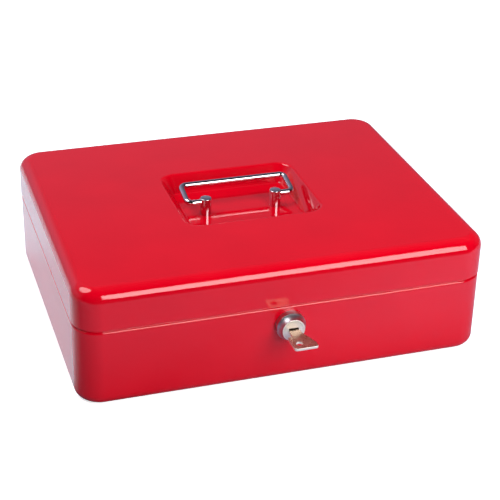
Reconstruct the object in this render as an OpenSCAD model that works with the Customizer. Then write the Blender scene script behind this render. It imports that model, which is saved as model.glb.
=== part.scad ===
// Steel cash box: a deep-drawn body and lid, a wire bail in a pressed recess,
// a key-operated cam lock and a lift-out coin tray.
// Millimetres, +Z up, origin on the rest face under the middle of the box,
// front (lock) towards -Y.

/* [Box] */
// Outside width of the lid
box_width = 300; // [280:1:320]
// Outside depth of the lid, front to back
box_depth = 240; // [225:1:255]
// Height of the closed box
box_height = 90; // [88:1:100]
// Height of the lid alone
lid_height = 30; // [28:0.5:33]
// Plan radius of the lid's vertical corners
corner_radius = 19; // [15:0.5:24]
// Radius of the rolled edge round the lid's top
lid_roll = 9.7; // [6:0.1:12]
// Radius of the drawn edge round the base
base_roll = 7.5; // [5:0.5:11]
// Sheet thickness
sheet = 1; // [0.8:0.1:1.2]
// How far the lid stands out past the body on each side
lid_overhang = 0.3; // [0.2:0.05:0.4]
// Height of the stepped-in rim inside the lid
rim_height = 8; // [5:0.5:9]
// Gap between the rim and the inside of the lid
rim_gap = 0.6; // [0.5:0.05:0.8]
// Gap between the lid's edge and the body's shoulder
seam_gap = 1.2; // [0.6:0.1:1.6]

/* [Handle recess] */
// Width of the recess opening
recess_width = 106; // [100:1:114]
// Length of the recess opening, front to back
recess_length = 88.6; // [80:0.2:100]
// Depth of the recess floor under the lid's top
recess_depth = 13; // [12:0.25:14]
// Plan radius of the opening's corners
recess_corner = 13; // [11:0.5:16]
// Slope of the recess walls from level, in degrees
recess_slope = 55; // [52:1:62]
// Radius of the convex edge round the opening
recess_edge = 2.5; // [1.5:0.25:3]
// Radius of the concave fillet round the floor
recess_fillet = 2.5; // [1.5:0.25:3]

/* [Handle] */
// Distance between the two posts
post_spacing = 54.6; // [50:0.2:58]
// Diameter of each post
post_d = 8.6; // [7:0.2:9]
// Height of each post over the recess floor
post_height = 13; // [11:0.25:14]
// Place of the posts in front of the lid's middle
post_forward = 2; // [0:0.5:4]
// Diameter of the post's riveted spigot
spigot_d = 5; // [4:0.25:6]
// Diameter of the rivet head under the washer
rivet_d = 8; // [7:0.5:9]
// Height of the rivet head
rivet_height = 1.2; // [0.8:0.1:1.6]
// Outside diameter of the post's washer
post_washer_d = 13; // [11:0.5:15]
// Thickness of the post's washer
post_washer_t = 1; // [0.8:0.1:1.2]
// Diameter of the bail wire
wire_d = 4.3; // [3.4:0.1:4.8]
// Distance between the middles of the bail's arms
bail_width = 82.2; // [78:0.2:84]
// Distance from the pivot to the middle of the bail's bar
bail_reach = 22.3; // [20:0.1:25]
// Centre-line radius of the bail's bends
bail_bend = 4.2; // [3.4:0.1:5]
// Height of the pivot under the post's top
pivot_drop = 3; // [2.8:0.1:3.6]
// Angle at which the laid-back bail stands over level, in degrees
bail_tilt = 11.5; // [0:0.5:14]
// Depth of the pivot hole in each post
pivot_depth = 6; // [4.5:0.25:6.5]
// Radial clearance of the bail in its pivot holes
pivot_clearance = 0.04; // [0.02:0.01:0.08]

/* [Hinges] */
// Distance from the box's side to each hinge's middle
hinge_inset = 65; // [50:1:80]
// Width of a hinge
hinge_width = 40; // [34:1:46]
// Height of each leaf
leaf_height = 18; // [14:0.5:20]
// Thickness of a leaf
leaf_t = 1; // [0.8:0.1:1.1]
// Outside diameter of the knuckles
knuckle_d = 6; // [5.4:0.1:6.2]
// Width of the lid leaf's single knuckle
knuckle_mid = 16; // [12:0.5:18]
// Gap between neighbouring knuckles
knuckle_gap = 0.4; // [0.3:0.05:0.6]
// Gap between the knuckles and the lid's back wall
knuckle_standoff = 0.4; // [0.35:0.05:0.6]
// Space left round a knuckle in the other leaf
knuckle_relief = 0.4; // [0.3:0.05:0.6]
// Diameter of the hinge pin
hinge_pin_d = 3; // [2.6:0.1:3.2]
// Radial clearance of the pin in the lid's knuckle
hinge_clearance = 0.05; // [0.02:0.01:0.1]
// Diameter of the pin's peened heads
pin_head_d = 4.4; // [4:0.1:5]
// Thickness of the pin's peened heads
pin_head_t = 0.8; // [0.5:0.1:1.2]

/* [Lock] */
// Distance from the seam down to the lock's axis
lock_drop = 15.5; // [15:0.5:17]
// Diameter of the lock head where it meets the body
head_base_d = 21.4; // [19.6:0.2:22]
// Diameter of the lock head's face
head_face_d = 15.6; // [15.2:0.2:17]
// How far the lock head stands out
head_length = 9.5; // [8:0.25:11]
// Diameter of the threaded shank
shank_d = 15.8; // [15.4:0.1:16.2]
// Length of the shank behind the body's front face
shank_length = 19.7; // [19:0.1:20.5]
// Radial clearance of the shank in the body
shank_clearance = 0.1; // [0.05:0.05:0.3]
// Diameter of the turning plug
plug_d = 12; // [11.6:0.1:12.4]
// Radial clearance of the plug in the housing
plug_clearance = 0.03; // [0.02:0.01:0.08]
// Diameter of the plug's front collar
collar_d = 13.4; // [12.8:0.1:13.8]
// Thickness of the plug's front collar
collar_t = 1.2; // [0.8:0.1:1.6]
// Thickness of the lock washer
lock_washer_t = 1; // [0.8:0.1:1.4]
// Outside diameter of the lock washer
lock_washer_d = 23; // [21:0.5:24]
// Width across flats of the lock nut
nut_flats = 21; // [20:0.5:22]
// Thickness of the lock nut
nut_t = 4; // [3:0.25:5]
// Width of the cam's arm
cam_width = 9; // [8:0.25:9.5]
// Distance from the lock's axis to the cam's tip
cam_reach = 20; // [18:0.5:21]
// Thickness of the cam
cam_t = 2; // [1.6:0.1:2.4]
// Side of the square tail that turns the cam
tail_side = 6; // [5.5:0.1:6.4]
// Diameter of the cam screw
cam_screw_d = 4; // [3.4:0.1:4.2]
// Diameter of the cam screw's head
cam_head_d = 7.6; // [7:0.2:8.4]
// Thickness of the cam screw's head
cam_head_t = 2.2; // [1.8:0.1:2.4]
// Thickness of the cam washer
cam_washer_t = 1; // [0.6:0.1:1.2]
// Number of wafers in the plug
wafer_count = 4; // [2:1:4]
// Distance between neighbouring wafers
wafer_pitch = 4; // [3:0.25:4.2]
// Thickness of a wafer
wafer_t = 1.2; // [0.8:0.1:1.4]
// Height of a wafer
wafer_height = 5; // [4.4:0.1:5.2]

/* [Key] */
// Thickness of the key
key_t = 2; // [1.6:0.1:2.2]
// Width of the key's blade
blade_width = 7; // [6:0.1:7.4]
// Reach of the blade behind the body's front face
blade_reach = 14; // [12:0.5:14.5]
// Width of the key's bow
bow_width = 17; // [15:0.5:19]
// Length of the bow's broad part
bow_length = 16; // [13:0.5:18]
// Distance from the lock's face to the front edge of the bow
bow_front = 24.6; // [23:0.2:27]
// Sideways offset of the bow from the blade
bow_offset = 1; // [0:0.25:1.5]
// Diameter of the key-ring hole
ring_hole_d = 4.8; // [4:0.2:5.4]
// Distance from the bow's front edge to the middle of the ring hole
ring_hole_back = 6.2; // [5:0.1:8]
// Sideways offset of the ring hole from the middle of the bow
ring_hole_offset = 3.4; // [2:0.1:4]
// Length of the bow's sloping flank
flank_length = 14.6; // [10:0.2:16]
// Length of the slope ahead of the bow's shoulder
flank_rise = 3.6; // [2:0.2:5]
// Gap round the blade in the keyway
keyway_gap = 0.15; // [0.1:0.05:0.25]

/* [Coin tray] */
// Distance from the seam down to the tray's top
tray_drop = 4; // [3:0.25:5]
// Depth of the cups under the tray's top
cup_depth = 29; // [24:0.5:32]
// Number of scooped coin cups
cup_count = 6; // [4:1:8]
// Length of the coin cups, front to back
cup_length = 64; // [56:1:70]
// Number of note bays
bay_count = 4; // [2:1:5]
// Thickness of the tray's moulding
tray_t = 1.8; // [1.4:0.1:2.2]
// Plan radius of the tray's corners
tray_corner = 22; // [16:0.5:26]
// Width of the tray's side flanges
flange_side = 24; // [22:0.5:26]
// Diameter of the finger holes in the side flanges
finger_hole_d = 15; // [13:0.5:16]
// Gap between the tray and the body's rim
tray_gap = 1.9; // [1.5:0.1:2.4]
// Gap between the tray and the lid's catch
catch_clearance = 3.2; // [2:0.2:6]
// Thickness of the tray's flange
flange_t = 2; // [1.6:0.1:2.4]
// Thickness of the webs between the pockets
divider = 2.6; // [2.2:0.1:3]
// Width of the tray rests
rest_width = 8; // [6:0.5:10]
// Height of the tray rests
rest_height = 12; // [8:0.5:16]
// Length of the tray rests
rest_length = 150; // [120:1:170]

/* [Hidden] */
$fn = 64;

// Shared corner centres: every wall offset u below is measured outward from them.
centre_x = box_width / 2 - corner_radius;
centre_y = box_depth / 2 - corner_radius;
seam_z = box_height - lid_height;
body_u = corner_radius - lid_overhang;
rim_u = corner_radius - sheet - rim_gap;
shoulder_z = seam_z - seam_gap;
shoulder_roll = body_u - rim_u;
rim_top = seam_z + rim_height;
body_front = -(centre_y + body_u);
body_inner_x = centre_x + body_u - sheet;

// Recess
recess_x = recess_width / 2 - recess_corner;
recess_y = recess_length / 2 - recess_corner;
recess_floor = box_height - recess_depth;
recess_lip = 1;
wall_lap = 0.05;
edge_u = recess_corner + recess_lip;
edge_low_u = edge_u - recess_edge * sin(recess_slope);
edge_low_z = box_height - recess_edge * (1 - cos(recess_slope));
foot_z = recess_floor + recess_fillet * (1 - cos(recess_slope));
slope_length = (edge_low_z - foot_z) / sin(recess_slope);
foot_u = edge_low_u - slope_length * cos(recess_slope);
floor_u = foot_u - recess_fillet * sin(recess_slope);

// Handle
post_top = recess_floor + post_height;
pivot_y = -post_forward;
pivot_z = post_top - pivot_drop;
post_edge = 0.5;
stub_end_gap = 0.3;

// Hinges
hinge_place = box_width / 2 - hinge_inset;
hinge_y = box_depth / 2 + knuckle_standoff + knuckle_d / 2;
knuckle_side = (hinge_width - knuckle_mid) / 2 - knuckle_gap;
leaf_relief = knuckle_d / 2 + knuckle_relief;

// Lock, in a frame whose z runs out of the body's front face
lock_height = seam_z - lock_drop;
cam_gap = 0.2;
cam_z = -shank_length - cam_gap - cam_t;
cam_washer_z = cam_z - cam_washer_t;
cam_head_z = cam_washer_z - cam_head_t;
plug_end = -shank_length + cam_gap;
tail_end = cam_z + 0.2;
screw_depth = 6;
keyway_end = -blade_reach - 1;
wafer_first = 2.5;
wafer_half = 5.3;
wafer_gap = 0.05;
lug_low = 3;
lug_high = 4.2;
lug_top = wafer_height / 2 + 1.35;
spring_low = -3.2;
groove_reach = plug_d / 2 + 0.9;

// Catch: hangs from the lid beside the cam and carries a lip under it
catch_t = 1.2;
catch_x = shank_d / 2 + 1.2;
catch_width = 17;
catch_back = body_front - cam_z + 1.2;
lip_gap = 0.8;
lip_z = lock_height - cam_width / 2 - lip_gap - catch_t;
lip_reach = 7;
bridge_z = rim_top + 2;
catch_flange = 9;

// Tray
tray_half = centre_x + rim_u - sheet - tray_gap;
tray_back = centre_y + rim_u - sheet - tray_gap;
tray_front = catch_back + catch_t + catch_clearance;
tray_middle = (tray_front + tray_back) / 2;
tray_top = seam_z - tray_drop;
cup_margin = 5;
cup_half = tray_half - flange_side;
cups_front = tray_front + cup_margin;
bays_front = cups_front + cup_length + 4;
bays_back = tray_back - cup_margin;
cup_floor = tray_top - cup_depth;
pocket_corner = 5;
finger_hole_web = 1.5;
rest_z = tray_top - flange_t;

function pitch(count) = 2 * cup_half / count;

// ---- shared shapes ----

// Sweeps a section (u across, z up) round a rectangle of corner centres.
module swept(hx, hy) {
    for (quarter = [0 : 3]) {
        across = quarter % 2 == 0 ? hx : hy;
        along = quarter % 2 == 0 ? hy : hx;
        rotate([0, 0, 90 * quarter]) {
            translate([across, along, 0])
                rotate_extrude(angle = 90)
                    children();
            translate([across, 0, 0])
                rotate([90, 0, 0])
                    linear_extrude(height = 2 * along, center = true)
                        children();
        }
    }
}

// Rounded rectangle given by its corner centres and radius.
module outline(hx, hy, r) {
    square([2 * (hx + r), 2 * hy], center = true);
    square([2 * hx, 2 * (hy + r)], center = true);
    for (sx = [-1, 1])
        for (sy = [-1, 1])
            translate([sx * hx, sy * hy])
                circle(r = r);
}

// Ring between two radii, kept inside the sector from angle a to angle b.
module arc_strip(r_out, r_in, a, b) {
    reach = 3 * r_out;
    intersection() {
        difference() {
            circle(r = r_out);
            circle(r = r_in);
        }
        polygon([
            [0, 0],
            [reach * cos(a), reach * sin(a)],
            [reach * cos((a + b) / 2), reach * sin((a + b) / 2)],
            [reach * cos(b), reach * sin(b)]
        ]);
    }
}

module tube(h, d_out, d_in) {
    difference() {
        cylinder(h = h, d = d_out);
        translate([0, 0, -1])
            cylinder(h = h + 2, d = d_in);
    }
}

// Frame of the lock: z out of the body's front face, y up.
module at_lock() {
    translate([0, body_front, lock_height])
        rotate([90, 0, 0])
            children();
}

// ---- body ----

module body_section() {
    wall_top = shoulder_z - shoulder_roll;
    translate([body_u - sheet, base_roll])
        square([sheet, wall_top - base_roll]);
    translate([body_u - base_roll, base_roll])
        arc_strip(base_roll, base_roll - sheet, 270, 360);
    translate([rim_u, wall_top])
        arc_strip(shoulder_roll, shoulder_roll - min(sheet, shoulder_roll - 0.1), 0, 90);
    translate([rim_u - sheet, wall_top])
        square([sheet, rim_top - wall_top]);
}

module body_shell() {
    color("firebrick")
    difference() {
        union() {
            swept(centre_x, centre_y)
                body_section();
            linear_extrude(height = sheet)
                outline(centre_x, centre_y, body_u - base_roll);
        }
        at_lock()
            translate([0, 0, -2 * sheet])
                cylinder(h = 4 * sheet, d = shank_d + 2 * shank_clearance);
    }
}

// Angle strip welded inside a side wall; the tray's flange rests on it.
module tray_rest(side) {
    wall = side * body_inner_x;
    color("silver")
    translate([wall, tray_middle, rest_z])
        rotate([0, 0, side > 0 ? 0 : 180])
            translate([0, -rest_length / 2, 0]) {
                translate([-sheet, 0, -rest_height])
                    cube([sheet, rest_length, rest_height]);
                translate([-rest_width, 0, -sheet])
                    cube([rest_width, rest_length, sheet]);
            }
}

// ---- hinges ----

// One knuckle: a sleeve along X about the hinge line, from x0, with the tab
// that joins it to its leaf. up is 1 for the lid's leaf and -1 for the body's.
module knuckle(x0, width, face_y, up) {
    translate([x0, 0, 0]) {
        translate([0, hinge_y, seam_z])
            rotate([0, 90, 0])
                cylinder(h = width, d = knuckle_d);
        translate([0, face_y, up > 0 ? seam_z : seam_z - leaf_relief])
            cube([width, leaf_t, leaf_relief]);
    }
}

module hinge_bore(bore) {
    translate([-hinge_width, hinge_y, seam_z])
        rotate([0, 90, 0])
            cylinder(h = 2 * hinge_width, d = bore);
}

module lower_leaf(side) {
    face_y = box_depth / 2 - lid_overhang;
    bottom = seam_z - leaf_height;
    color("silver")
    translate([side * hinge_place, 0, 0])
        difference() {
            union() {
                translate([-hinge_width / 2, face_y, bottom])
                    cube([hinge_width, leaf_t, leaf_height - leaf_relief]);
                knuckle(-hinge_width / 2, knuckle_side, face_y, -1);
                knuckle(hinge_width / 2 - knuckle_side, knuckle_side, face_y, -1);
            }
            hinge_bore(hinge_pin_d);
        }
}

module upper_leaf(side) {
    face_y = box_depth / 2;
    color("silver")
    translate([side * hinge_place, 0, 0])
        difference() {
            union() {
                translate([-hinge_width / 2, face_y, seam_z + leaf_relief])
                    cube([hinge_width, leaf_t, leaf_height - leaf_relief]);
                knuckle(-knuckle_mid / 2, knuckle_mid, face_y, 1);
            }
            hinge_bore(hinge_pin_d + 2 * hinge_clearance);
        }
}

module hinge_pin(side) {
    color("gainsboro")
    translate([side * hinge_place, hinge_y, seam_z])
        rotate([0, 90, 0]) {
            cylinder(h = hinge_width, d = hinge_pin_d, center = true);
            for (end = [-1, 1])
                translate([0, 0, end * (hinge_width + pin_head_t) / 2])
                    cylinder(h = pin_head_t, d = pin_head_d, center = true);
        }
}

// ---- lid ----

module lid_section() {
    translate([corner_radius - sheet, seam_z])
        square([sheet, lid_height - lid_roll]);
    translate([corner_radius - lid_roll, box_height - lid_roll])
        arc_strip(lid_roll, lid_roll - sheet, 0, 90);
}

// Edge, sloped wall and fillet of the recess, in the recess's own u.
module recess_section() {
    translate([edge_u, box_height - recess_edge])
        arc_strip(recess_edge, recess_edge - sheet, 90, 90 + recess_slope);
    translate([foot_u, foot_z])
        rotate([0, 0, recess_slope])
            translate([-wall_lap, -sheet])
                square([slope_length + 2 * wall_lap, sheet]);
    translate([floor_u, recess_floor + recess_fillet])
        arc_strip(recess_fillet + sheet, recess_fillet, 270, 270 + recess_slope);
}

module lid_shell() {
    color("firebrick")
    difference() {
        union() {
            swept(centre_x, centre_y)
                lid_section();
            translate([0, 0, box_height - sheet])
                linear_extrude(height = sheet)
                    difference() {
                        outline(centre_x, centre_y, corner_radius - lid_roll);
                        outline(recess_x, recess_y, edge_u);
                    }
            swept(recess_x, recess_y)
                recess_section();
            translate([0, 0, recess_floor - sheet])
                linear_extrude(height = sheet)
                    outline(recess_x, recess_y, floor_u);
        }
        for (side = [-1, 1])
            translate([side * post_spacing / 2, pivot_y, recess_floor - 2 * sheet])
                cylinder(h = 3 * sheet, d = spigot_d);
    }
}

module lid_catch() {
    skirt = -box_depth / 2 + sheet;
    color("silver")
    translate([catch_x, 0, 0]) {
        translate([0, skirt, bridge_z])
            cube([catch_width, catch_t, catch_flange]);
        translate([0, skirt, bridge_z])
            cube([catch_width, catch_back + catch_t - skirt, catch_t]);
        translate([0, catch_back, lip_z])
            cube([catch_width, catch_t, bridge_z + catch_t - lip_z]);
        translate([0, catch_back + catch_t - lip_reach, lip_z])
            cube([catch_width, lip_reach, catch_t]);
    }
}

// ---- handle ----

module handle_post(side) {
    color("gainsboro")
    translate([side * post_spacing / 2, pivot_y, 0])
        difference() {
            union() {
                translate([0, 0, recess_floor])
                    cylinder(h = post_height - post_edge, d = post_d);
                translate([0, 0, post_top - post_edge])
                    cylinder(h = post_edge, d1 = post_d, d2 = post_d - 2 * post_edge);
                translate([0, 0, recess_floor - sheet - post_washer_t])
                    cylinder(h = sheet + post_washer_t, d = spigot_d);
                translate([0, 0, recess_floor - sheet - post_washer_t - rivet_height])
                    cylinder(h = rivet_height, d1 = rivet_d - 1, d2 = rivet_d);
            }
            translate([side * post_d / 2, 0, pivot_z])
                rotate([0, -90 * side, 0])
                    translate([0, 0, -1])
                        cylinder(h = pivot_depth + 1, d = wire_d + 2 * pivot_clearance);
        }
}

module post_washer(side) {
    color("silver")
    translate([side * post_spacing / 2, pivot_y, recess_floor - sheet - post_washer_t])
        tube(post_washer_t, post_washer_d, spigot_d);
}

module wire(length) {
    rotate([0, 90, 0])
        cylinder(h = length, d = wire_d, center = true);
}

// Quarter bend of the wire, from +X to +Y about its own centre.
module bend() {
    rotate_extrude(angle = 90)
        translate([bail_bend, 0])
            circle(d = wire_d);
}

module handle_bail() {
    arm_x = bail_width / 2;
    stub_start = post_spacing / 2 + post_d / 2 - pivot_depth + stub_end_gap;
    stub_length = arm_x - bail_bend - stub_start;
    arm_length = bail_reach - 2 * bail_bend;
    color("gainsboro")
    translate([0, pivot_y, pivot_z])
        rotate([bail_tilt, 0, 0]) {
            translate([0, bail_reach, 0])
                wire(2 * (arm_x - bail_bend));
            for (side = [-1, 1])
                mirror([side > 0 ? 0 : 1, 0, 0]) {
                    translate([stub_start + stub_length / 2, 0, 0])
                        wire(stub_length);
                    translate([arm_x - bail_bend, bail_bend, 0])
                        rotate([0, 0, -90])
                            bend();
                    translate([arm_x, bail_bend, 0])
                        rotate([-90, 0, 0])
                            cylinder(h = arm_length, d = wire_d);
                    translate([arm_x - bail_bend, bail_reach - bail_bend, 0])
                        bend();
                }
        }
}

// ---- lock ----

module lock_housing() {
    bore = plug_d + 2 * plug_clearance;
    rim = 0.5;
    color("gainsboro")
    at_lock()
        difference() {
            union() {
                cylinder(h = head_length - rim, d1 = head_base_d, d2 = head_face_d + 2 * rim);
                translate([0, 0, head_length - rim])
                    cylinder(h = rim, d1 = head_face_d + 2 * rim, d2 = head_face_d);
                translate([0, 0, -shank_length])
                    cylinder(h = shank_length, d = shank_d);
            }
            translate([0, 0, -shank_length - 1])
                cylinder(h = shank_length + head_length + 2, d = bore);
            translate([0, 0, head_length - collar_t])
                cylinder(h = collar_t + 1, d = collar_d + 2 * plug_clearance);
            translate([-groove_reach, -wafer_height / 2 - wafer_gap, keyway_end])
                cube([2 * groove_reach, wafer_height + 2 * wafer_gap, wafer_first + wafer_t - keyway_end]);
        }
}

module lock_washer() {
    color("silver")
    at_lock()
        translate([0, 0, -sheet - lock_washer_t])
            tube(lock_washer_t, lock_washer_d, shank_d);
}

module lock_nut() {
    color("goldenrod")
    at_lock()
        translate([0, 0, -sheet - lock_washer_t - nut_t])
            difference() {
                cylinder(h = nut_t, d = nut_flats / cos(30), $fn = 6);
                translate([0, 0, -1])
                    cylinder(h = nut_t + 2, d = shank_d);
            }
}

function wafer_z(index) = wafer_first - index * wafer_pitch;

module lock_plug() {
    slot = 2 * keyway_gap;
    color("khaki")
    at_lock()
        difference() {
            union() {
                translate([0, 0, plug_end])
                    cylinder(h = head_length - plug_end, d = plug_d);
                translate([0, 0, head_length - collar_t])
                    cylinder(h = collar_t, d = collar_d);
                translate([-tail_side / 2, -tail_side / 2, tail_end])
                    cube([tail_side, tail_side, plug_end - tail_end]);
            }
            translate([-blade_width / 2 - keyway_gap, -key_t / 2 - keyway_gap, keyway_end])
                cube([blade_width + slot, key_t + slot, head_length + 1 - keyway_end]);
            for (index = [0 : wafer_count - 1])
                translate([0, 0, wafer_z(index)]) {
                    translate([-plug_d, -wafer_height / 2 - wafer_gap, -wafer_t / 2 - wafer_gap])
                        cube([2 * plug_d, wafer_height + 2 * wafer_gap, wafer_t + 2 * wafer_gap]);
                    translate([spring_low, 0, -wafer_t / 2 - wafer_gap])
                        cube([lug_high + 0.1 - spring_low, lug_top + wafer_gap, wafer_t + 2 * wafer_gap]);
                }
            translate([0, 0, tail_end - 1])
                cylinder(h = screw_depth + 1, d = cam_screw_d);
        }
}

module lock_wafers() {
    window = 0.25;
    color("goldenrod")
    at_lock()
        for (index = [0 : wafer_count - 1])
            translate([0, 0, wafer_z(index) - wafer_t / 2])
                linear_extrude(height = wafer_t)
                    difference() {
                        union() {
                            square([2 * wafer_half, wafer_height], center = true);
                            translate([lug_low, 0])
                                square([lug_high - lug_low, lug_top]);
                        }
                        square([blade_width + 2 * window, key_t + 2 * window], center = true);
                    }
}

// Sleeves that stand for the wafers' coil springs.
module wafer_springs() {
    coil_d = min(1.1, wafer_t);
    coil_y = wafer_height / 2 + 0.75;
    color("dimgray")
    at_lock()
        for (index = [0 : wafer_count - 1])
            translate([spring_low, coil_y, wafer_z(index)])
                rotate([0, 90, 0])
                    tube(lug_low - spring_low, coil_d, coil_d - 0.5);
}

module lock_cam() {
    hub = 7;
    fit = 0.05;
    color("silver")
    at_lock()
        translate([0, 0, cam_z])
            linear_extrude(height = cam_t)
                difference() {
                    union() {
                        circle(r = hub);
                        translate([-cam_width / 2, 0])
                            square([cam_width, cam_reach - cam_width / 2]);
                        translate([0, cam_reach - cam_width / 2])
                            circle(d = cam_width);
                    }
                    square(tail_side + 2 * fit, center = true);
                }
}

module cam_washer() {
    color("gainsboro")
    at_lock()
        translate([0, 0, cam_washer_z])
            tube(cam_washer_t, cam_head_d + 2, cam_screw_d + 0.3);
}

module cam_screw() {
    slot_width = 1;
    color("gainsboro")
    at_lock()
        difference() {
            union() {
                translate([0, 0, cam_head_z])
                    cylinder(h = cam_head_t, d = cam_head_d);
                translate([0, 0, cam_washer_z])
                    cylinder(h = tail_end + screw_depth - 0.5 - cam_washer_z, d = cam_screw_d);
            }
            translate([-cam_head_d, -slot_width / 2, cam_head_z - 1])
                cube([2 * cam_head_d, slot_width, 1 + cam_head_t / 2]);
        }
}

// ---- key ----

// The key lies flat; its blade runs back (+Y) into the lock.
module key_plate() {
    linear_extrude(height = key_t)
        children();
}

module key() {
    face = body_front - head_length;
    tip = body_front + blade_reach;
    front = face - bow_front;
    shoulder = front + bow_length;
    point = 2;
    neck = blade_width / 2 + 0.6;
    left = bow_offset - bow_width / 2;
    right = bow_offset + bow_width / 2;
    round_r = 1.8;
    slope_top = shoulder + flank_rise;
    slope_foot = slope_top - flank_length;
    cut_half = 0.9;
    color("lightgray")
    translate([0, 0, lock_height - key_t / 2])
        difference() {
            union() {
                key_plate()
                    polygon([
                        [-blade_width / 2, shoulder - 1], [-blade_width / 2, tip - point],
                        [-1, tip], [1, tip],
                        [blade_width / 2, tip - point], [blade_width / 2, shoulder - 1]
                    ]);
                key_plate()
                    polygon([
                        [left + round_r, front], [left, front + round_r],
                        [left, shoulder - 0.8], [left + 0.8, shoulder],
                        [-neck, shoulder], [-neck, face - 1], [neck, face - 1], [neck, slope_top],
                        [right, slope_foot], [right, front + round_r], [right - round_r, front]
                    ]);
                for (x = [left + round_r, right - round_r])
                    translate([x, front + round_r, 0])
                        cylinder(h = key_t, r = round_r);
            }
            translate([bow_offset - ring_hole_offset, front + ring_hole_back, -1])
                cylinder(h = key_t + 2, d = ring_hole_d);
            for (index = [0 : wafer_count - 1]) {
                depth = 0.6 + 0.35 * ((index * 2 + 1) % 3);
                translate([-blade_width / 2, body_front - wafer_z(index), -1])
                    linear_extrude(height = key_t + 2)
                        polygon([
                            [-1, 1 + cut_half], [0, cut_half], [depth, cut_half / 3],
                            [depth, -cut_half / 3], [0, -cut_half], [-1, -1 - cut_half]
                        ]);
            }
        }
}

// ---- coin tray ----

// Coin cup with a scooped front and back, grown by the moulding's thickness.
module cup(x, grow) {
    width = pitch(cup_count) - divider + 2 * grow;
    mid_y = cups_front + cup_length / 2;
    scoop_r = (pow(cup_length / 2, 2) + pow(cup_depth, 2)) / (2 * cup_depth);
    intersection() {
        translate([x - width / 2, mid_y - cup_length / 2 - grow, cup_floor - grow])
            cube([width, cup_length + 2 * grow, cup_depth + grow + (grow > 0 ? 0 : 1)]);
        translate([x - width / 2, mid_y, cup_floor + scoop_r])
            rotate([0, 90, 0])
                cylinder(h = width, r = scoop_r + grow, $fn = 96);
    }
}

// Flat-bottomed note bay.
module bay(x, grow) {
    width = pitch(bay_count) - divider + 2 * grow;
    length = bays_back - bays_front + 2 * grow;
    r = pocket_corner + grow;
    translate([x, (bays_front + bays_back) / 2, cup_floor - grow])
        linear_extrude(height = cup_depth + grow + (grow > 0 ? 0 : 1))
            outline(width / 2 - r, length / 2 - r, r);
}

module pockets(grow) {
    for (index = [0 : cup_count - 1])
        cup(-cup_half + pitch(cup_count) * (index + 0.5), grow);
    for (index = [0 : bay_count - 1])
        bay(-cup_half + pitch(bay_count) * (index + 0.5), grow);
}

module coin_tray() {
    half_length = (tray_back - tray_front) / 2;
    hole_x = cup_half + finger_hole_web + finger_hole_d / 2;
    color("dimgray")
    difference() {
        union() {
            translate([0, tray_middle, tray_top - flange_t])
                linear_extrude(height = flange_t)
                    outline(tray_half - tray_corner, half_length - tray_corner, tray_corner);
            pockets(tray_t / 2 + divider / 4);
        }
        pockets(0);
        for (side = [-1, 1])
            translate([side * hole_x, tray_middle, tray_top - 2 * flange_t])
                cylinder(h = 3 * flange_t, d = finger_hole_d);
    }
}

body_shell();
tray_rest(-1);  // left_tray_rest
tray_rest(1);  // right_tray_rest
lower_leaf(-1);  // left_hinge_lower_leaf
lower_leaf(1);  // right_hinge_lower_leaf
hinge_pin(-1);  // left_hinge_pin
hinge_pin(1);  // right_hinge_pin
lock_housing();
lock_washer();
lock_nut();
lid_shell();
lid_catch();
upper_leaf(-1);  // left_hinge_upper_leaf
upper_leaf(1);  // right_hinge_upper_leaf
handle_post(-1);  // left_handle_post
handle_post(1);  // right_handle_post
post_washer(-1);  // left_post_washer
post_washer(1);  // right_post_washer
handle_bail();
lock_plug();
lock_wafers();
wafer_springs();
lock_cam();
cam_washer();
cam_screw();
key();
coin_tray();
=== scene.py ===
# Cash box in red stoving enamel, with a chrome bail, a key lock and a coin tray.
# Lengths in the dictionaries are millimetres; the scene itself is in metres.
from math import cos, pi, radians, sin

import bmesh
import bpy
from mathutils import Matrix, Vector


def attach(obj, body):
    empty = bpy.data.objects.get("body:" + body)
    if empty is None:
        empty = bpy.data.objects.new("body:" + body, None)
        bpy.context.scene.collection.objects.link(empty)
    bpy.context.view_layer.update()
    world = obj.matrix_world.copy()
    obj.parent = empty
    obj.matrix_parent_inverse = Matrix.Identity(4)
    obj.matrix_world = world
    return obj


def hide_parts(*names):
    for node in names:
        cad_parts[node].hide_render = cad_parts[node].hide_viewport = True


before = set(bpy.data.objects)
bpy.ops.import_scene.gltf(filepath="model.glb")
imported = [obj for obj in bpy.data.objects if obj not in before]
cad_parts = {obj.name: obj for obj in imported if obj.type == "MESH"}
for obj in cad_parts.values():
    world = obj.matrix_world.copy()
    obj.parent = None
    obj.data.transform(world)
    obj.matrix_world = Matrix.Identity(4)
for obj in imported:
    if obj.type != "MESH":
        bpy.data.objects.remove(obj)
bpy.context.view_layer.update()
mm = 0.001
scene = bpy.context.scene
print("frame loaded:", len(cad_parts), "nodes")


def linearColour(hexCode):
    parts = [int(hexCode[i:i + 2], 16) / 255 for i in (1, 3, 5)]
    return tuple(p / 12.92 if p <= 0.04045 else ((p + 0.055) / 1.055) ** 2.4 for p in parts) + (1.0,)


def addNode(tree, kind, values=None, links=None, **settings):
    node = tree.nodes.new(kind)
    for name, value in settings.items():
        setattr(node, name, value)
    for socket, value in (values or {}).items():
        node.inputs[socket].default_value = value
    for socket, source in (links or {}).items():
        tree.links.new(source, node.inputs[socket])
    return node


def fillRamp(node, stops):
    # Each stop is (place, colour), in rising order.
    elements = node.color_ramp.elements
    while len(elements) < len(stops):
        elements.new(1.0)
    for element, (place, colour) in zip(elements, stops):
        element.position = place
        element.color = colour
    return node.outputs["Color"]


def perMm(size):
    return 1 / (size * mm)  # texture scale for a feature of this many millimetres


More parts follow.
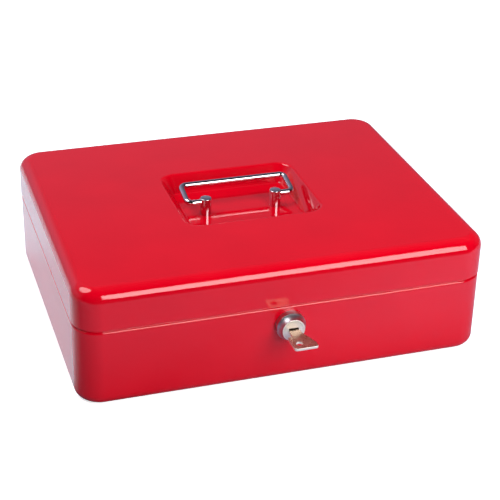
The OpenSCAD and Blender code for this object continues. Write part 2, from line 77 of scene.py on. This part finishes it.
def newMaterial(name):
    material = bpy.data.materials.new(name)
    material.use_nodes = True
    tree = material.node_tree
    tree.nodes.clear()
    shader = addNode(tree, "ShaderNodeBsdfPrincipled")
    addNode(tree, "ShaderNodeOutputMaterial", links={"Surface": shader.outputs["BSDF"]})
    place = addNode(tree, "ShaderNodeTexCoord").outputs["Object"]
    return material, tree, shader, place


def feedShader(tree, shader, colour, roughness, bump):
    tree.links.new(colour, shader.inputs["Base Color"])
    tree.links.new(roughness.outputs["Result"], shader.inputs["Roughness"])
    tree.links.new(bump.outputs["Normal"], shader.inputs["Normal"])


def stovedEnamel():
    # Stoving enamel sprayed on drawn sheet: one deep even red with a wet gloss,
    # a trace of orange peel and the slow ripple of pressed steel under it.
    look = {"red": "#cf021b", "thickRed": "#c9021a", "roughness": 0.055, "dullest": 0.085, "ior": 1.5,
            "patchMm": 45, "peelMm": 2.4, "peelHeightMm": 0.0022, "rippleMm": 60, "rippleHeightMm": 0.02}
    material, tree, shader, place = newMaterial("stovedRedEnamel")
    patch = addNode(tree, "ShaderNodeTexNoise", {"Scale": perMm(look["patchMm"]), "Detail": 2.0},
                    {"Vector": place})
    colour = fillRamp(addNode(tree, "ShaderNodeValToRGB", links={"Fac": patch.outputs["Fac"]}),
                      ((0.3, linearColour(look["thickRed"])), (0.7, linearColour(look["red"]))))
    gloss = addNode(tree, "ShaderNodeMapRange", {"From Min": 0.35, "From Max": 0.65,
                                                 "To Min": look["roughness"], "To Max": look["dullest"]},
                    {"Value": patch.outputs["Fac"]})
    ripple = addNode(tree, "ShaderNodeTexNoise", {"Scale": perMm(look["rippleMm"]), "Detail": 0.0},
                     {"Vector": place})
    rippleBump = addNode(tree, "ShaderNodeBump", {"Distance": look["rippleHeightMm"] * mm},
                         {"Height": ripple.outputs["Fac"]})
    peel = addNode(tree, "ShaderNodeTexNoise", {"Scale": perMm(look["peelMm"]), "Detail": 1.0},
                   {"Vector": place})
    peelBump = addNode(tree, "ShaderNodeBump", {"Distance": look["peelHeightMm"] * mm},
                       {"Height": peel.outputs["Fac"], "Normal": rippleBump.outputs["Normal"]})
    shader.inputs["IOR"].default_value = look["ior"]
    feedShader(tree, shader, colour, gloss, peelBump)
    return material


def metalFinish(name, look):
    # One recipe for bare and plated metal: soft mottling of the colour and a directed scratch.
    material, tree, shader, place = newMaterial(name)
    mottle = addNode(tree, "ShaderNodeTexNoise", {"Scale": perMm(look["mottleMm"]), "Detail": 3.0},
                     {"Vector": place})
    colour = fillRamp(addNode(tree, "ShaderNodeValToRGB", links={"Fac": mottle.outputs["Fac"]}),
                      ((0.32, linearColour(look["dark"])), (0.68, linearColour(look["light"]))))
    stretched = addNode(tree, "ShaderNodeMapping", {"Scale": look["scratchStretch"]}, {"Vector": place})
    scratch = addNode(tree, "ShaderNodeTexNoise", {"Scale": perMm(look["scratchMm"]), "Detail": 4.0},
                      {"Vector": stretched.outputs["Vector"]})
    gloss = addNode(tree, "ShaderNodeMapRange", {"From Min": 0.3, "From Max": 0.7,
                                                 "To Min": look["roughness"], "To Max": look["dullest"]},
                    {"Value": scratch.outputs["Fac"]})
    bump = addNode(tree, "ShaderNodeBump", {"Distance": look["scratchHeightMm"] * mm},
                   {"Height": scratch.outputs["Fac"]})
    shader.inputs["Metallic"].default_value = 1.0
    feedShader(tree, shader, colour, gloss, bump)
    return material


def mouldedAbs():
    # Injection-moulded black ABS: spark-eroded satin grain, slightly worn glossier in patches.
    look = {"black": "#1b1b1e", "worn": "#26262a", "roughness": 0.42, "dullest": 0.58, "ior": 1.53,
            "grainMm": 0.7, "grainHeightMm": 0.03, "patchMm": 25}
    material, tree, shader, place = newMaterial("mouldedBlackAbs")
    patch = addNode(tree, "ShaderNodeTexNoise", {"Scale": perMm(look["patchMm"]), "Detail": 3.0},
                    {"Vector": place})
    colour = fillRamp(addNode(tree, "ShaderNodeValToRGB", links={"Fac": patch.outputs["Fac"]}),
                      ((0.35, linearColour(look["black"])), (0.75, linearColour(look["worn"]))))
    gloss = addNode(tree, "ShaderNodeMapRange", {"From Min": 0.35, "From Max": 0.65,
                                                 "To Min": look["dullest"], "To Max": look["roughness"]},
                    {"Value": patch.outputs["Fac"]})
    grain = addNode(tree, "ShaderNodeTexNoise", {"Scale": perMm(look["grainMm"]), "Detail": 2.0},
                    {"Vector": place})
    bump = addNode(tree, "ShaderNodeBump", {"Distance": look["grainHeightMm"] * mm},
                   {"Height": grain.outputs["Fac"]})
    shader.inputs["IOR"].default_value = look["ior"]
    feedShader(tree, shader, colour, gloss, bump)
    return material


enamel = stovedEnamel()
# Polished decorative chrome: a cold mirror with faint polishing haze.
chrome = metalFinish("polishedChromePlate", {
    "dark": "#cecbd0", "light": "#dedce0", "mottleMm": 9, "roughness": 0.1, "dullest": 0.16,
    "scratchMm": 1.2, "scratchStretch": (1, 1, 1), "scratchHeightMm": 0.0006})
# The lock's plate is thinner and duller, so what it mirrors is softer.
lockChrome = metalFinish("turnedLockChrome", {
    "dark": "#b9b8bf", "light": "#cbcacf", "mottleMm": 6, "roughness": 0.3, "dullest": 0.4,
    "scratchMm": 0.5, "scratchStretch": (1, 0.2, 1), "scratchHeightMm": 0.0006})
# Satin nickel on turned faces: bright but blurred, almost white under a softbox. On the key's cut edges it is
# a painted highlight.
satinNickelAndKeyHighlight = metalFinish("nickelSatinFaceAndKeyHighlight", {
    "dark": "#eeeedf", "light": "#f6f6ea", "mottleMm": 3, "roughness": 0.5, "dullest": 0.62,
    "scratchMm": 0.35, "scratchStretch": (1, 1, 1), "scratchHeightMm": 0.003})
# Nickel-plated stamped key blank: warm, tumbled, with grain along the strip.
keyNickel = metalFinish("tumbledNickelKey", {
    "dark": "#93786c", "light": "#a98d80", "mottleMm": 5, "roughness": 0.24, "dullest": 0.36,
    "scratchMm": 0.5, "scratchStretch": (1, 0.12, 1), "scratchHeightMm": 0.0008})
# Bright zinc on pressed steel: grey-blue, soft mottling, grain along the strip.
zinc = metalFinish("brightZincPlate", {
    "dark": "#a3a9b2", "light": "#c2c6cc", "mottleMm": 7, "roughness": 0.3, "dullest": 0.45,
    "scratchMm": 0.8, "scratchStretch": (0.15, 1, 1), "scratchHeightMm": 0.005})
# Drawn pin steel: bright, fine lines along the pin.
pinSteel = metalFinish("drawnPinSteel", {
    "dark": "#b0b1b3", "light": "#cfd0d1", "mottleMm": 6, "roughness": 0.2, "dullest": 0.32,
    "scratchMm": 0.4, "scratchStretch": (0.1, 1, 1), "scratchHeightMm": 0.003})
# Machined brass: yellow, turned lines, lightly tarnished.
brass = metalFinish("machinedBrass", {
    "dark": "#b08d45", "light": "#d3b468", "mottleMm": 4, "roughness": 0.22, "dullest": 0.38,
    "scratchMm": 0.4, "scratchStretch": (1, 0.2, 1), "scratchHeightMm": 0.003})
# Spring wire: dark and oiled.
springSteel = metalFinish("oiledSpringWire", {
    "dark": "#5b5c60", "light": "#84868a", "mottleMm": 1, "roughness": 0.3, "dullest": 0.42,
    "scratchMm": 0.3, "scratchStretch": (1, 1, 1), "scratchHeightMm": 0.002})
blackAbs = mouldedAbs()
print("materials made")


# Gaps that are closed in a new mesh and in a CAD one, and the angle below which faces merge.
weld = {"made": 0.001, "fromCad": 0.002, "flatAngle": 0.6}


def finishPiece(name, bm, material, body, node, sharpAngle=35):
    bmesh.ops.remove_doubles(bm, verts=bm.verts, dist=weld["made"] * mm)
    mesh = bpy.data.meshes.new(name)
    bm.to_mesh(mesh)
    bm.free()
    mesh.polygons.foreach_set("use_smooth", [True] * len(mesh.polygons))
    mesh.set_sharp_from_angle(angle=radians(sharpAngle))
    mesh.materials.append(material)
    piece = bpy.data.objects.new(name, mesh)
    scene.collection.objects.link(piece)
    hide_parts(node)
    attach(piece, body)
    return piece


def softEdges(piece, width, segments=2, angle=35):
    bevel = piece.modifiers.new("softEdges", "BEVEL")
    bevel.width = width * mm
    bevel.segments = segments
    bevel.limit_method = "ANGLE"
    bevel.angle_limit = radians(angle)
    flatten = piece.modifiers.new("evenShading", "WEIGHTED_NORMAL")
    flatten.keep_sharp = True
    flatten.weight = 90


def giveSheet(piece, thickness):
    wall = piece.modifiers.new("sheet", "SOLIDIFY")
    wall.thickness = thickness * mm
    wall.offset = -1  # inwards
    wall.use_even_offset = True


def cadMesh(node):
    # A copy of a CAD piece, with its loose triangles merged into faces.
    bm = bmesh.new()
    bm.from_mesh(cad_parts[node].data)
    bmesh.ops.remove_doubles(bm, verts=bm.verts, dist=weld["fromCad"] * mm)
    bmesh.ops.dissolve_limit(bm, angle_limit=radians(weld["flatAngle"]), verts=bm.verts, edges=bm.edges)
    return bm


def arc(centreU, centreZ, radius, start, end, steps):
    # Points of a section's curve: u across the wall, z up, angles in degrees.
    turns = [radians(start + (end - start) * i / steps) for i in range(steps + 1)]
    return [(centreU + radius * cos(t), centreZ + radius * sin(t)) for t in turns]


def lastLoop(grown):
    # The vertices and edges that an extrusion or a spin ended on.
    verts = [g for g in grown if isinstance(g, bmesh.types.BMVert)]
    fresh = set(verts)
    return verts, [g for g in grown if isinstance(g, bmesh.types.BMEdge) and set(g.verts) <= fresh]


def roundedOutline(bm, cornerX, cornerY, radius, z, steps):
    # Four corners rounded by a vertex bevel. Returns the loop's edges.
    reachX = cornerX + radius
    reachY = cornerY + radius
    corners = [bm.verts.new((sx * reachX * mm, sy * reachY * mm, z * mm))
               for sx, sy in ((1, 1), (-1, 1), (-1, -1), (1, -1))]
    bm.faces.new(corners)
    rounded = bmesh.ops.bevel(bm, geom=corners, offset=radius * mm, offset_type="OFFSET",
                              affect="VERTICES", segments=steps, profile=0.5, material=-1)
    plate = max((f for v in rounded["verts"] for f in v.link_faces), key=lambda f: len(f.verts))
    loop = list(plate.edges)
    bmesh.ops.delete(bm, geom=[plate], context="FACES_ONLY")
    return loop


def sweepWall(bm, loop, cornerX, cornerY, section):
    # Extrudes the loop through each (u, z) of a section, measured out from the corner centres.
    for u, z in section:
        verts, loop = lastLoop(bmesh.ops.extrude_edge_only(bm, edges=loop)["geom"])
        for v in verts:
            centre = Vector((cornerX * mm if v.co.x > 0 else -cornerX * mm,
                             cornerY * mm if v.co.y > 0 else -cornerY * mm))
            v.co.xy = centre + (v.co.xy - centre).normalized() * u * mm
            v.co.z = z * mm
    return loop


def faceOutwards(bm, end):
    # Where end is 1 the shell's highest face looks up; where it is -1 the lowest looks down.
    bmesh.ops.recalc_face_normals(bm, faces=bm.faces)
    outermost = max(bm.faces, key=lambda f: end * f.calc_center_median().z)
    if end * outermost.normal.z < 0:
        bmesh.ops.reverse_faces(bm, faces=bm.faces)


lid = {"cornerX": 131, "cornerY": 101, "corner": 19, "bottom": 60, "top": 90, "roll": 9.7, "sheet": 1.0,
       "recessX": 40, "recessY": 31.3, "edgeU": 14, "edge": 2.5, "slope": 55, "fillet": 2.5, "depth": 13,
       "cornerSteps": 20, "rollSteps": 14, "edgeSteps": 8, "brokenEdge": 0.25, "brokenFrom": 50}


def buildLid():
    k = lid
    slope = radians(k["slope"])
    floorZ = k["top"] - k["depth"]
    edgeLowU = k["edgeU"] - k["edge"] * sin(slope)
    edgeLowZ = k["top"] - k["edge"] * (1 - cos(slope))
    footZ = floorZ + k["fillet"] * (1 - cos(slope))
    footU = edgeLowU - (edgeLowZ - footZ) / sin(slope) * cos(slope)
    floorU = footU - k["fillet"] * sin(slope)
    bm = bmesh.new()
    outer = roundedOutline(bm, k["cornerX"], k["cornerY"], k["corner"], k["bottom"], k["cornerSteps"])
    roll = arc(k["corner"] - k["roll"], k["top"] - k["roll"], k["roll"], 0, 90, k["rollSteps"])
    outer = sweepWall(bm, outer, k["cornerX"], k["cornerY"], roll)
    inner = roundedOutline(bm, k["recessX"], k["recessY"], k["edgeU"], k["top"], k["cornerSteps"])
    bmesh.ops.bridge_loops(bm, edges=outer + inner)
    edge = arc(k["edgeU"], k["top"] - k["edge"], k["edge"], 90, 90 + k["slope"], k["edgeSteps"])
    foot = arc(floorU, floorZ + k["fillet"], k["fillet"], 270 + k["slope"], 270, k["edgeSteps"])
    floor = sweepWall(bm, inner, k["recessX"], k["recessY"], edge[1:] + foot)
    bmesh.ops.contextual_create(bm, geom=floor)
    faceOutwards(bm, 1)
    piece = finishPiece("lidShell", bm, enamel, "lid", "lid_shell")
    giveSheet(piece, k["sheet"])
    softEdges(piece, k["brokenEdge"], angle=k["brokenFrom"])


body = {"cornerX": 131, "cornerY": 101, "corner": 18.7, "baseRoll": 7.5, "shoulderTop": 58.5,
        "shoulderTall": 1.7, "rimU": 17.4, "rimTop": 68, "sheet": 1.0, "cornerSteps": 20, "rollSteps": 12,
        "shoulderSteps": 10, "sharpAngle": 60, "brokenEdge": 0.25, "brokenFrom": 75}


def buildBody():
    k = body
    flatU = k["corner"] - k["baseRoll"]
    shoulder = k["corner"] - k["rimU"]
    springZ = k["shoulderTop"] - k["shoulderTall"]
    bm = bmesh.new()
    loop = roundedOutline(bm, k["cornerX"], k["cornerY"], flatU, 0, k["cornerSteps"])
    bmesh.ops.contextual_create(bm, geom=loop)
    base = arc(flatU, k["baseRoll"], k["baseRoll"], 270, 360, k["rollSteps"])
    # The shoulder is a quarter circle stretched upwards.
    turn = [(u, springZ + (z - springZ) * k["shoulderTall"] / shoulder)
            for u, z in arc(k["rimU"], springZ, shoulder, 0, 90, k["shoulderSteps"])]
    sweepWall(bm, loop, k["cornerX"], k["cornerY"], base[1:] + turn + [(k["rimU"], k["rimTop"])])
    faceOutwards(bm, -1)
    piece = finishPiece("bodyShell", bm, enamel, "case", "body_shell", k["sharpAngle"])
    giveSheet(piece, k["sheet"])
    softEdges(piece, k["brokenEdge"], angle=k["brokenFrom"])


buildLid()
buildBody()
print("lid and body made")


handle = {"postX": 27.3, "pivotY": -2, "postR": 4.3, "tenonR": 2.5, "floorZ": 77, "topZ": 90, "topEdge": 0.5,
          "edgeSteps": 4, "footZ": 75, "pivotZ": 87, "wireR": 2.15, "halfWidth": 41.1, "reach": 22.3,
          "bend": 4.2, "tilt": 11.5, "stubStart": 25.9, "bendSteps": 14, "sides": 64, "wireSides": 32}


def lathe(profile, spot, axis, steps):
    # Spins (radius, height) points about an axis through spot.
    bm = bmesh.new()
    turn = Vector((0, 0, 1)).rotation_difference(Vector(axis)).to_matrix().to_4x4()
    verts = [bm.verts.new((r * mm, 0, h * mm)) for r, h in profile]
    edges = [bm.edges.new(pair) for pair in zip(verts, verts[1:])]
    bmesh.ops.spin(bm, geom=verts + edges, cent=(0, 0, 0), axis=(0, 0, 1), angle=2 * pi, steps=steps,
                   use_merge=True)
    bmesh.ops.remove_doubles(bm, verts=bm.verts, dist=weld["made"] * mm)
    bmesh.ops.recalc_face_normals(bm, faces=bm.faces)
    bmesh.ops.transform(bm, matrix=Matrix.Translation(Vector(spot) * mm) @ turn, verts=bm.verts)
    return bm


def buildPost(side, sign):
    k = handle
    edge = k["topEdge"]
    r = k["postR"]
    profile = [(0, k["footZ"]), (k["tenonR"], k["footZ"]), (k["tenonR"], k["floorZ"]), (r, k["floorZ"])]
    profile += arc(r - edge, k["topZ"] - edge, edge, 0, 90, k["edgeSteps"])
    profile += [(0, k["topZ"])]
    bm = lathe(profile, (sign * k["postX"], k["pivotY"], 0), (0, 0, 1), k["sides"])
    finishPiece("handlePost" + side.capitalize(), bm, chrome, "lid", side + "_handle_post")


def runStraight(bm, ring, move):
    verts, ring = lastLoop(bmesh.ops.extrude_edge_only(bm, edges=ring)["geom"])
    bmesh.ops.translate(bm, vec=Vector(move) * mm, verts=verts)
    return ring


def bendQuarter(bm, ring, centre):
    spun = bmesh.ops.spin(bm, geom=ring, cent=Vector(centre) * mm, axis=(0, 0, 1), angle=pi / 2,
                          steps=handle["bendSteps"])
    return lastLoop(spun["geom_last"])[1]


def buildBail():
    # One wire, from the stub in the right post round to the stub in the left one.
    k = handle
    half = k["halfWidth"]
    bend = k["bend"]
    bendX = half - bend
    farY = k["reach"] - bend
    stub = bendX - k["stubStart"]
    arm = farY - bend
    bm = bmesh.new()
    start = Matrix.Translation((k["stubStart"] * mm, 0, 0)) @ Matrix.Rotation(pi / 2, 4, "Y")
    bmesh.ops.create_circle(bm, cap_ends=True, segments=k["wireSides"], radius=k["wireR"] * mm, matrix=start)
    ring = list(bm.edges)
    for carry, where in ((runStraight, (stub, 0, 0)), (bendQuarter, (bendX, bend, 0)),
                         (runStraight, (0, arm, 0)), (bendQuarter, (bendX, farY, 0)),
                         (runStraight, (-2 * bendX, 0, 0)), (bendQuarter, (-bendX, farY, 0)),
                         (runStraight, (0, -arm, 0)), (bendQuarter, (-bendX, bend, 0)),
                         (runStraight, (stub, 0, 0))):
        ring = carry(bm, ring, where)
    bmesh.ops.contextual_create(bm, geom=ring)
    bmesh.ops.recalc_face_normals(bm, faces=bm.faces)
    pivot = Matrix.Translation((0, k["pivotY"] * mm, k["pivotZ"] * mm))
    bmesh.ops.transform(bm, matrix=pivot @ Matrix.Rotation(radians(k["tilt"]), 4, "X"), verts=bm.verts)
    finishPiece("handleBail", bm, chrome, "handle", "handle_bail")


buildPost("left", -1)
buildPost("right", 1)
buildBail()
print("handle made")


# The head runs out from faceY. Its ring is the satin face round the plug, and the shank goes in behind it.
lock = {"z": 44.5, "faceY": -119.7, "headLength": 9.5, "baseR": 10.7, "barrel": 4.8, "barrelEdge": 0.5,
        "barrelTurn": 58, "faceR": 7.8, "rimEdge": 0.5, "ringEdge": 0.35, "ringFrom": 20, "edgeSteps": 4,
        "shankR": 7.9, "shankLength": 19.7, "shankEdge": 0.4, "boreR": 6.03, "collarR": 6.7, "collarT": 1.2,
        "collarGap": 0.03, "lipGap": 0.1, "lipDepth": 0.25, "lipFlare": 0.45, "ringDepth": 1, "facing": 0.8,
        "sides": 96, "sharpAngle": 30, "keywayW": 7.6, "keywayH": 2.8, "mouth": 1.75, "faceGap": 0.02,
        "plugEdge": 0.12, "keyEdge": 0.35, "keyHighlightTilt": 0.3}


def buildHead():
    k = lock
    top = k["headLength"]
    back = -k["shankLength"]
    rimR = k["faceR"] + k["rimEdge"]
    profile = [(k["boreR"], back), (k["shankR"] - k["shankEdge"], back), (k["shankR"], back + k["shankEdge"]),
               (k["shankR"], 0), (k["baseR"], 0)]
    profile += arc(k["baseR"] - k["barrelEdge"], k["barrel"] - k["barrelEdge"], k["barrelEdge"],
                   0, k["barrelTurn"], k["edgeSteps"])
    profile += [(rimR, top - k["rimEdge"])]
    profile += arc(rimR - k["ringEdge"], top - k["ringEdge"], k["ringEdge"],
                   k["ringFrom"], 90, k["edgeSteps"])
    profile += [(k["collarR"] + k["lipFlare"], top), (k["collarR"] + k["lipGap"], top - k["lipDepth"]),
                (k["collarR"] + k["collarGap"], top - k["collarT"]), (k["boreR"], top - k["collarT"]),
                (k["boreR"], back)]
    bm = lathe(profile, (0, k["faceY"], k["z"]), (0, -1, 0), k["sides"])
    ringBack = (k["faceY"] - top + k["ringDepth"]) * mm
    for face in bm.faces:
        if face.normal.y < -k["facing"] and face.calc_center_median().y < ringBack:
            face.material_index = 1
    piece = finishPiece("lockHead", bm, lockChrome, "case", "lock_housing", k["sharpAngle"])
    piece.data.materials.append(satinNickelAndKeyHighlight)


def buildPlug():
    # The keyway opens towards its mouth, so a dark gap shows round the blade.
    k = lock
    bm = cadMesh("lock_plug")
    axisZ = k["z"] * mm
    faceY = (k["faceY"] - k["headLength"]) * mm
    for v in bm.verts:
        atFace = abs(v.co.y - faceY) < k["faceGap"] * mm
        rise = v.co.z - axisZ
        if atFace and abs(v.co.x) < k["keywayW"] / 2 * mm and abs(rise) < k["keywayH"] / 2 * mm:
            v.co.z = axisZ + rise * k["mouth"]
    softEdges(finishPiece("lockPlug", bm, satinNickelAndKeyHighlight, "plug", "lock_plug"), k["plugEdge"])


def buildKey():
    # The stamping's cut edges get the near-white satin material, a painted highlight, while its faces keep
    # the key's nickel.
    bm = cadMesh("key")
    for face in bm.faces:
        face.material_index = 1 if abs(face.normal.z) < lock["keyHighlightTilt"] else 0
    piece = finishPiece("keyBlank", bm, keyNickel, "latch_key", "key")
    piece.data.materials.append(satinNickelAndKeyHighlight)
    softEdges(piece, lock["keyEdge"], 3)


def softenedCopy(name, node, material, rides, width):
    # A CAD piece with its edges broken by width.
    softEdges(finishPiece(name, cadMesh(node), material, rides, node), width)


buildHead()
buildPlug()
buildKey()
for name, node, finish, rides, slotName, width in (
        ("lockNut", "lock_nut", brass, "case", "brass", 0.3),
        ("lockWasher", "lock_washer", zinc, "case", "zinc_plate", 0.12),
        ("lockCam", "lock_cam", zinc, "plug", "zinc_plate", 0.25),
        ("camWasher", "cam_washer", zinc, "plug", "zinc_plate", 0.12),
        ("camScrew", "cam_screw", zinc, "plug", "zinc_plate", 0.25),
        ("lockWafers", "lock_wafers", brass, "plug", "brass", 0.08),
        ("waferSprings", "wafer_springs", springSteel, "plug", "spring_steel", 0.04),
        ("lidCatch", "lid_catch", zinc, "lid", "zinc_plate", 0.25)):
    softenedCopy(name, node, finish, rides, width)
for name, node, finish, rides, slotName, width in (
        ("postWasher", "post_washer", zinc, "lid", "zinc_plate", 0.12),
        ("trayRest", "tray_rest", zinc, "case", "zinc_plate", 0.2),
        ("hingeLower", "hinge_lower_leaf", zinc, "case", "zinc_plate", 0.2),
        ("hingeUpper", "hinge_upper_leaf", zinc, "lid", "zinc_plate", 0.2),
        ("hingePin", "hinge_pin", pinSteel, "case", "polished_pin", 0.2)):
    for side in ("left", "right"):
        softenedCopy(name + side.capitalize(), side + "_" + node, finish, rides, width)
softenedCopy("coinTray", "coin_tray", blackAbs, "tray", 0.6)
print("lock, hinges and tray made")


# Each stop is (place, level): in full turns about the box's front-left corner, in depth or in height.
stage = {"floorMm": 12000, "floorWhite": "#f4f2f6", "cameraLift": 0.65, "lilac": (0.95, 0.88, 1.2),
         "glow": (0.98, 1.3, 1.42), "white": (1, 1, 1), "turnX": -131, "turnY": -101,
         # Painted light and shade on the floor, by turn about the corner, for what the box mirrors.
         "paintedLightAroundStops": ((0.0, 0.56), (0.05, 0.46), (0.12, 0.38), (0.18, 0.38), (0.25, 0.42), (0.4, 0.44),
                         (0.5, 1.0)),
         # A painted glow on the floor to the box's left, brighter than the light falling there.
         "paintedGlowLeftStops": ((0.76, 2.0), (0.88, 2.0), (0.93, 1.2), (1.0, 0.56)),
         "depthFrom": -400, "depthTo": -100,
         # Painted shade by depth: dark far in front, a painted pool of light, then a painted contact shadow
         # along the box's front.
         "paintedShadeDepthStops": ((0.18, 0.12), (0.38, 1.0), (0.62, 1.0), (0.92, 0.5)),
         "wallStops": ((0.0, 0.35), (0.38, 0.44), (0.45, 0.32), (0.5, 0.22), (0.62, 0.3), (0.8, 0.28),
                       (0.95, 0.1)),
         "sideways": {"From Min": -0.4, "From Max": 0.6, "To Min": 1.25, "To Max": 0.4},
         "backwards": {"From Min": -0.3, "From Max": 0.2}}


def tinted(stops, tint):
    return [(place, tuple(level * part for part in tint) + (1,)) for place, level in stops]


def buildFloor():
    k = stage
    bm = bmesh.new()
    bmesh.ops.create_grid(bm, x_segments=1, y_segments=1, size=k["floorMm"] / 2 * mm)
    mesh = bpy.data.meshes.new("tableTop")
    bm.to_mesh(mesh)
    bm.free()
    material = bpy.data.materials.new("paleTable")
    material.use_nodes = True
    tree = material.node_tree
    tree.nodes.clear()
    surface = addNode(tree, "ShaderNodeBsdfDiffuse", {"Color": linearColour(k["floorWhite"])})
    lift = addNode(tree, "ShaderNodeEmission", {"Color": (1, 1, 1, 1), "Strength": k["cameraLift"]})
    both = addNode(tree, "ShaderNodeAddShader", links={0: surface.outputs[0], 1: lift.outputs[0]})
    # What the box mirrors and is lit by from below: painted light and shade on the table, a lilac-white pool
    # brightest to its left with a painted glow there, painted shade around it and a painted contact shadow
    # along the box's front.
    place = addNode(tree, "ShaderNodeTexCoord").outputs["Object"]
    centred = addNode(tree, "ShaderNodeMapping", {"Location": (-k["turnX"] * mm, -k["turnY"] * mm, 0)},
                      {"Vector": place})
    around = addNode(tree, "ShaderNodeTexGradient", links={"Vector": centred.outputs[0]},
                     gradient_type="RADIAL")
    # Painted light and shade around the box, with a painted glow to its left.
    level = fillRamp(addNode(tree, "ShaderNodeValToRGB", links={"Fac": around.outputs["Fac"]}),
                     tinted(k["paintedLightAroundStops"], k["lilac"]) + tinted(k["paintedGlowLeftStops"], k["glow"]))
    parts = addNode(tree, "ShaderNodeSeparateXYZ", links={0: place})
    depth = addNode(tree, "ShaderNodeMapRange",
                    {"From Min": k["depthFrom"] * mm, "From Max": k["depthTo"] * mm},
                    {"Value": parts.outputs["Y"]})
    # Painted shade by depth, with a painted contact shadow along the box's front.
    sheet = fillRamp(addNode(tree, "ShaderNodeValToRGB", links={"Fac": depth.outputs["Result"]}),
                     tinted(k["paintedShadeDepthStops"], k["white"]))
    shade = addNode(tree, "ShaderNodeVectorMath", links={0: level, 1: sheet}, operation="MULTIPLY")
    mirrored = addNode(tree, "ShaderNodeBsdfDiffuse", links={"Color": shade.outputs[0]})
    path = addNode(tree, "ShaderNodeLightPath")
    seen = addNode(tree, "ShaderNodeMixShader",
                   links={0: path.outputs["Is Camera Ray"], 1: mirrored.outputs[0], 2: both.outputs[0]})
    addNode(tree, "ShaderNodeOutputMaterial", links={"Surface": seen.outputs[0]})
    mesh.materials.append(material)
    floor = bpy.data.objects.new("tableTop", mesh)
    scene.collection.objects.link(floor)


def buildWorld():
    # A dim studio: a grey wall behind the box, fading upwards and to the right. The camera sees white.
    k = stage
    world = bpy.data.worlds.new("studio")
    scene.world = world
    world.use_nodes = True
    tree = world.node_tree
    tree.nodes.clear()
    place = addNode(tree, "ShaderNodeTexCoord").outputs["Generated"]
    parts = addNode(tree, "ShaderNodeSeparateXYZ", links={0: place})
    wall = fillRamp(addNode(tree, "ShaderNodeValToRGB", links={"Fac": parts.outputs["Z"]}),
                    tinted(k["wallStops"], k["lilac"]))
    side = addNode(tree, "ShaderNodeMapRange", k["sideways"], {"Value": parts.outputs["X"]})
    rear = addNode(tree, "ShaderNodeMapRange", k["backwards"], {"Value": parts.outputs["Y"]})
    strength = addNode(tree, "ShaderNodeMath", links={0: side.outputs["Result"], 1: rear.outputs["Result"]},
                       operation="MULTIPLY")
    around = addNode(tree, "ShaderNodeBackground", links={"Color": wall, "Strength": strength.outputs[0]})
    white = addNode(tree, "ShaderNodeBackground", {"Color": (1, 1, 1, 1), "Strength": 1.0})
    path = addNode(tree, "ShaderNodeLightPath")
    mixed = addNode(tree, "ShaderNodeMixShader",
                    links={0: path.outputs["Is Camera Ray"], 1: around.outputs[0], 2: white.outputs[0]})
    addNode(tree, "ShaderNodeOutputWorld", links={"Surface": mixed.outputs[0]})


# The fills light the box without being mirrored in it.
lamps = {
    "frontSoftbox": {"at": (260, -820, 485), "aim": (0, -100, 85), "size": (560, 530), "watts": 7.8},
    "overheadFill": {"at": (550, 200, 1500), "aim": (0, 0, 0), "size": (1400, 1400), "watts": 10,
                     "mirrored": False},
    "frontFill": {"at": (0, -1600, 500), "aim": (0, 0, 50), "size": (1200, 1200), "watts": 4.5,
                  "mirrored": False},
    "leftSoftbox": {"at": (-1100, 400, 1900), "aim": (0, 0, 50), "size": (1500, 1300), "watts": 28,
                    "shape": "ELLIPSE"}}


def hangLamp(name, k):
    lamp = bpy.data.lights.new(name, "AREA")
    lamp.shape = k.get("shape", "RECTANGLE")
    lamp.size = k["size"][0] * mm
    lamp.size_y = k["size"][1] * mm
    lamp.energy = k["watts"]
    holder = bpy.data.objects.new(name, lamp)
    holder.location = Vector(k["at"]) * mm
    holder.rotation_euler = (Vector(k["aim"]) - Vector(k["at"])).to_track_quat("-Z", "Y").to_euler()
    holder.visible_glossy = k.get("mirrored", True)
    holder.visible_camera = False
    scene.collection.objects.link(holder)


camera = {"azimuth": -18.088, "elevation": 28.186, "roll": 1.280, "distance": 1058.2, "rightShift": 8.45,
          "upShift": -3.73, "aimZ": 45, "focalPx": 1376.9, "framePx": 500, "sensor": 36}


def buildCamera():
    k = camera
    az, el, roll = (radians(k[name]) for name in ("azimuth", "elevation", "roll"))
    back = Vector((sin(az) * cos(el), -cos(az) * cos(el), sin(el)))
    right = Vector((cos(az), sin(az), 0))
    up = back.cross(right)
    side = right * cos(roll) + up * sin(roll)
    top = up * cos(roll) - right * sin(roll)
    aim = Vector((0, 0, k["aimZ"])) + side * k["rightShift"] + top * k["upShift"]
    data = bpy.data.cameras.new("camera")
    data.sensor_width = k["sensor"]
    data.lens = k["focalPx"] / k["framePx"] * k["sensor"]
    view = bpy.data.objects.new("camera", data)
    view.matrix_world = Matrix((side, top, back)).transposed().to_4x4()
    view.location = (aim + back * k["distance"]) * mm
    scene.collection.objects.link(view)
    scene.camera = view


buildFloor()
buildWorld()
for name, lamp in lamps.items():
    hangLamp(name, lamp)
buildCamera()
scene.view_settings.view_transform = "Standard"
print("stage set")
